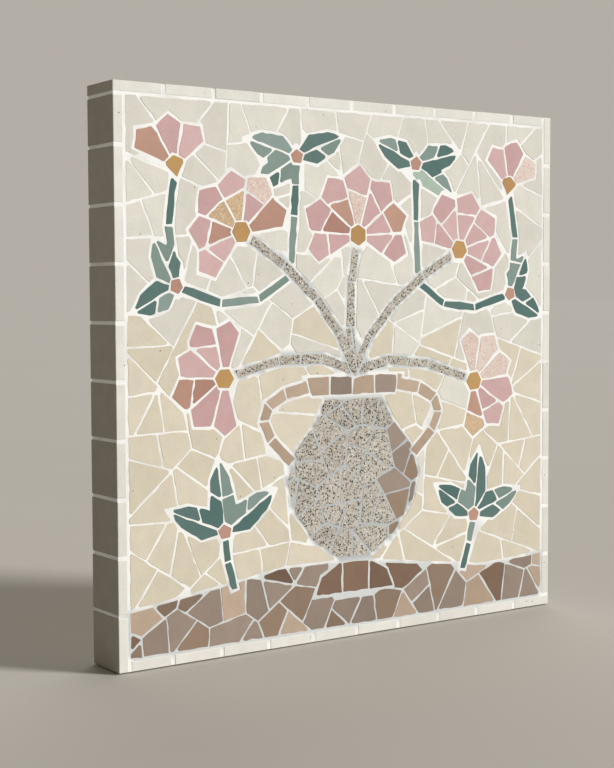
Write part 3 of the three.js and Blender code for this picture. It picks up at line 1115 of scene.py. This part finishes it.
@dataclass
class GroutBed:
    """The cast bed of mortar, whose front shows as the grout between the chips.

    Attributes:
        recess: How far it stays behind the chips' faces, in millimetres.
        edge_recess: How far it stays behind the edge tiles' faces, in millimetres.
        wall_recess: How far it stays short of the wall, in millimetres.
        cell: The size of the cells that carry its unevenness, in millimetres.
        unevenness: How far its front rises and falls, in millimetres.
        ripple: The size of those waves, in millimetres.
    """

    recess: float = 0.17
    edge_recess: float = 0.16
    wall_recess: float = 1.2
    cell: float = 1.25
    unevenness: float = 0.08
    ripple: float = 4.0

    def build(self) -> None:
        """Shape the tray of mortar round the board, with an uneven front."""
        low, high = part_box("edge_bottom_1")[0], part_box("edge_top_1")[1]
        board_low, board_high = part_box("backing_board")
        half = (high.z - low.z) / 2 - self.edge_recess * MM
        front = FACE_Y + self.recess * MM
        back = -self.wall_recess * MM
        piece = start_box("grout_and_mortar", Vector((-half, front, -half)), Vector((half, back, half)))
        inward = (0.0, board_low.y - back, 0.0)
        cuts = round(2 * half / (self.cell * MM)) - 1
        with editing(piece):
            select(piece, lambda face: face.normal.y > NEARLY_SQUARE_ON)
            bpy.ops.mesh.inset(thickness=half - board_high.x)
            bpy.ops.mesh.extrude_region_move(TRANSFORM_OT_translate={"value": inward})
            select(piece, lambda face: face.normal.y < -NEARLY_SQUARE_ON
                   and face.calc_center_median().y < front + NEAR)
            bpy.ops.mesh.subdivide(number_cuts=cuts)
            bpy.ops.mesh.select_all(action="SELECT")
            bpy.ops.mesh.normals_make_consistent(inside=False)
        for vertex in piece.data.vertices:
            if abs(vertex.co.y - front) < TOUCH:
                wave = noise.noise(vertex.co * per_metre(self.ripple))
                vertex.co.y += wave * self.unevenness * MM
        smooth(piece)
        self._stain(piece)
        piece.data.materials.append(CementGrout().material())
        hand_over(piece, "background_porcelain", "mortar_and_paving")

    @staticmethod
    def _stain(piece: bpy.types.Object) -> None:
        """Mark the grout that lies between dark chips, by the solids that it touches.

        Args:
            piece: The grout.
        """
        stains = [0.0] * len(piece.data.vertices)
        for node, depth in DUSTY_NODES.items():
            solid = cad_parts[node]
            low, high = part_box(node)
            for vertex in piece.data.vertices:
                place = vertex.co
                if not low.x - JOINT < place.x < high.x + JOINT:
                    continue
                if not low.z - JOINT < place.z < high.z + JOINT or place.y >= FACE_Y + MM:
                    continue
                touching, *_ = solid.closest_point_on_mesh(place, distance=JOINT)
                if touching:
                    stains[vertex.index] = max(stains[vertex.index], depth)
        store(piece, "stain", stains)


@dataclass
class BackingBoard:
    """The plywood board that carries the mortar.

    Attributes:
        arris: The sanded edge's width, in millimetres.
    """

    arris: float = 0.8

    def build(self) -> None:
        """Shape the board over its solid."""
        low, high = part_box("backing_board")
        piece = start_box("plywood_board", low, high)
        with editing(piece, "EDGE"):
            select(piece, lambda edge: all(end.co.y > -NEAR for end in edge.verts), edges=True)
            bpy.ops.mesh.bevel(offset=self.arris * MM, segments=3, affect="EDGES")
        smooth(piece)
        piece.data.materials.append(BirchPly().material())
        hand_over(piece, "backing_board", "backing_board")


# The picture


def picture() -> list[ChipFigure]:
    """List the figures of the picture and the paving round them.

    Returns:
        The groups of chips.
    """
    figures = [
        ChipFigure("cream_paving", "mortar_and_paving", "background_porcelain",
                   {Role.FIELD: [(CREAM, 1.0)], Role.LOW: [(BEIGE, 12.0), (CREAM, 1.0)]},
                   largest=270.0, seed=5, low_under=16.0 * MM),
        ChipFigure("ground_paving", "ground", "ground_porcelain",
                   {Role.FIELD: [(BROWN, 4.0), (TAUPE, 3.0), (TAN, 1.5), (DARK_BROWN, 1.0)]},
                   largest=230.0, seed=5),
        ChipFigure("stone_vase", "vase_body", "speckled_porcelain",
                   {Role.FIELD: [(STONE, 1.0)], Role.FLANK: [(TAUPE, 1.0), (BROWN, 1.0)]},
                   largest=190.0, seed=7, flank_from=21.0 * MM),
        ChipFigure("tan_rim_and_handles", "vase_rim_and_handles", "tan_porcelain",
                   {Role.FIELD: [(TAN, 3.0), (TAUPE, 1.0)]}, largest=120.0, seed=9),
        ChipFigure("brown_foot", "vase_foot", "brown_porcelain",
                   {Role.FIELD: [(DARK_BROWN, 1.0)]}, seed=11),
        ChipFigure("stone_stems", "stems", "speckled_porcelain",
                   {Role.FIELD: [(STONE, 1.0)]}, largest=95.0, seed=13),
    ]
    petals = [(PINK, 5.0), (CLAY, 1.5), (ROSE_SPECKLE, 1.4), (SAND_SPECKLE, 0.6)]
    flowers = [
        "flower_crown", "flower_left_high", "flower_right_high", "flower_left_low",
        "flower_right_low", "bud_left", "bud_right",
    ]
    for number, node in enumerate(flowers):
        figures.append(ChipFigure(f"pink_{node}", node, "blossom_porcelain",
                                  {Role.FIELD: petals, Role.HEART: [(OCHRE, 1.0)]},
                                  largest=175.0, seed=20 + number, heart_area=62.0))
    greens = {
        "left_side": (TEAL, SAGE), "right_side": (TEAL, SAGE),
        "left_top": (SAGE, MINT), "right_top": (TEAL, MINT),
        "left_low": (TEAL, SAGE), "right_low": (SAGE, TEAL),
    }
    for number, (place, (main, second)) in enumerate(greens.items()):
        figures.append(ChipFigure(f"green_leaves_{place}", f"leaves_{place}", "leaf_porcelain",
                                  {Role.FIELD: [(main, 3.0), (second, 1.2)],
                                   Role.HEART: [(CLAY, 1.0), (OCHRE, 1.0)],
                                   Role.STALK: [(TEAL, 2.0), (SAGE, 1.0)]},
                                  largest=120.0, seed=40 + number, heart_area=29.0, stalk_width=4.3))
    return figures


# Studio


@dataclass
class Studio:
    """A pale floor, soft light from the front right, and the camera.

    Attributes:
        lens: The focal length, in millimetres.
        sensor: The longer side of the picture behind the lens, in millimetres.
        stand: Where the camera stands, in metres.
        yaw: Its turn from +Y towards +X, in degrees.
        pitch: Its tilt up, in degrees.
        roll: Its turn about its own axis, in degrees.
        floor_z: The height of the floor.
        floor_half: Half the floor's side.
        glow: The colour of the light from all round.
        backdrop: The colour that the camera sees past the floor.
    """

    lens: float = 70.54
    sensor: float = 36.0
    stand: tuple[float, float, float] = (-0.4274, -0.5955, 0.0354)
    yaw: float = 34.973
    pitch: float = -3.339
    roll: float = -0.224
    floor_z: float = -0.1275
    floor_half: float = 60.0
    glow: str = "77746a"
    backdrop: str = "b4aea6"

    def build(self) -> None:
        """Set up the floor, the lights, the surroundings and the camera."""
        self._floor()
        self._sun("key", azimuth=42.0, elevation=24.0, strength=3.3, spread=14.0)
        self._sun("back", azimuth=140.0, elevation=32.0, strength=0.9, spread=50.0)
        self._surroundings()
        self._camera()
        view = bpy.context.scene.view_settings
        view.view_transform = "Standard"
        view.look = "None"

    def _floor(self) -> None:
        """Lay the floor."""
        bpy.ops.object.select_all(action="DESELECT")
        bpy.ops.mesh.primitive_plane_add(size=2 * self.floor_half, location=(0.0, 0.0, self.floor_z))
        floor = bpy.context.active_object
        floor.name = "floor"
        floor.data.materials.append(MattPaint().material())

    @staticmethod
    def _sun(name: str, azimuth: float, elevation: float, strength: float, spread: float) -> None:
        """Let soft light fall from one side.

        Args:
            name: The light's name.
            azimuth: Where it comes from, in degrees from straight in front towards the right.
            elevation: Its height, in degrees.
            strength: Its strength.
            spread: Its apparent size, in degrees, which softens the shadows.
        """
        light = bpy.data.lights.new(name, "SUN")
        light.energy = strength
        light.angle = math.radians(spread)
        lamp = bpy.data.objects.new(name, light)
        side, up = math.radians(azimuth), math.radians(elevation)
        source = Vector((math.sin(side) * math.cos(up), -math.cos(side) * math.cos(up), math.sin(up)))
        lamp.rotation_euler = (-source).to_track_quat("-Z", "Y").to_euler()
        bpy.context.scene.collection.objects.link(lamp)

    def _surroundings(self) -> None:
        """Give the room a dim, even glow, and a backdrop where the camera looks past the floor."""
        world = bpy.data.worlds.new("studio")
        bpy.context.scene.world = world
        world.use_nodes = True
        nodes = NodeWork(world.node_tree)
        seen = nodes.add("ShaderNodeLightPath").outputs["Is Camera Ray"]
        background = world.node_tree.nodes["Background"]
        nodes.feed(background, "Color", nodes.mix(seen, linear(self.glow), linear(self.backdrop)))
        nodes.feed(background, "Strength", 1.0)

    def _camera(self) -> None:
        """Stand the camera where the photograph was taken from."""
        yaw, pitch, roll = (math.radians(angle) for angle in (self.yaw, self.pitch, self.roll))
        level = Vector((math.sin(yaw), math.cos(yaw), 0.0))
        forward = math.cos(pitch) * level + Vector((0.0, 0.0, math.sin(pitch)))
        right = forward.cross(Vector((0.0, 0.0, 1.0))).normalized()
        up = right.cross(forward)
        rolled = math.cos(roll) * right + math.sin(roll) * up
        over = rolled.cross(forward)
        data = bpy.data.cameras.new("camera")
        data.lens = self.lens
        data.sensor_fit = "AUTO"
        data.sensor_width = self.sensor
        data.clip_start = 10.0 * MM
        camera = bpy.data.objects.new("camera", data)
        turn = Matrix((rolled, over, -forward)).transposed().to_4x4()
        camera.matrix_world = Matrix.Translation(self.stand) @ turn
        bpy.context.scene.collection.objects.link(camera)
        bpy.context.scene.camera = camera


def main() -> None:
    """Build the panel's looks round the frame, piece by piece."""
    logging.basicConfig(level=logging.INFO, format="%(name)s: %(message)s")
    Studio().build()
    BackingBoard().build()
    GroutBed().build()
    EdgeTiles().build()
    for figure in picture():
        figure.build()
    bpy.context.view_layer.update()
    log.info("boxes written")


if __name__ == "__main__":
    main()
